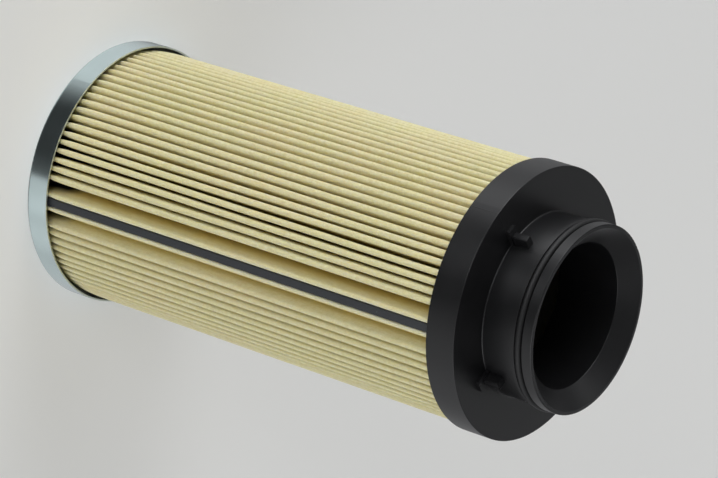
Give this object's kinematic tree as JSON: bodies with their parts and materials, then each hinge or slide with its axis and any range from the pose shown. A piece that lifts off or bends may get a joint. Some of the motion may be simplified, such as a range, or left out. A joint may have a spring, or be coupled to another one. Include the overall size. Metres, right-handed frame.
{
  "type": "pleated filter element",
  "caption": "Cylindrical filter cartridge: folded paper pack round a perforated core, a closed pressed steel cap and a moulded spigot cap with an O-ring.",
  "frame": {"origin": "centre of the closed steel cap's underside, the plane the element stands on", "axes": "+Z along the element's axis from the closed cap towards the spigot's mouth; +X and +Y through the lugs on the spigot's foot; the seam clip lies 56.6 degrees round from +X"},
  "size_m": [0.098, 0.098, 0.2138],
  "materials": {
    "zinc_steel": "bright zinc plating, slightly blue",
    "adhesive": "cured dark potting adhesive",
    "core_steel": "plain perforated steel",
    "filter_paper": "cream resin-treated filter paper",
    "clip_strip": "dark grey strip",
    "black_nylon": "black glass-filled nylon, satin",
    "seal_rubber": "black nitrile rubber"
  },
  "bodies": {
    "root": {"bottom_cap": "zinc_steel", "bottom_adhesive": "adhesive", "core_tube": "core_steel", "filter_media": "filter_paper", "seam_clip": "clip_strip", "top_adhesive": "adhesive", "spigot_cap": "black_nylon", "o_ring": "seal_rubber"}
  },
  "joints": []
}
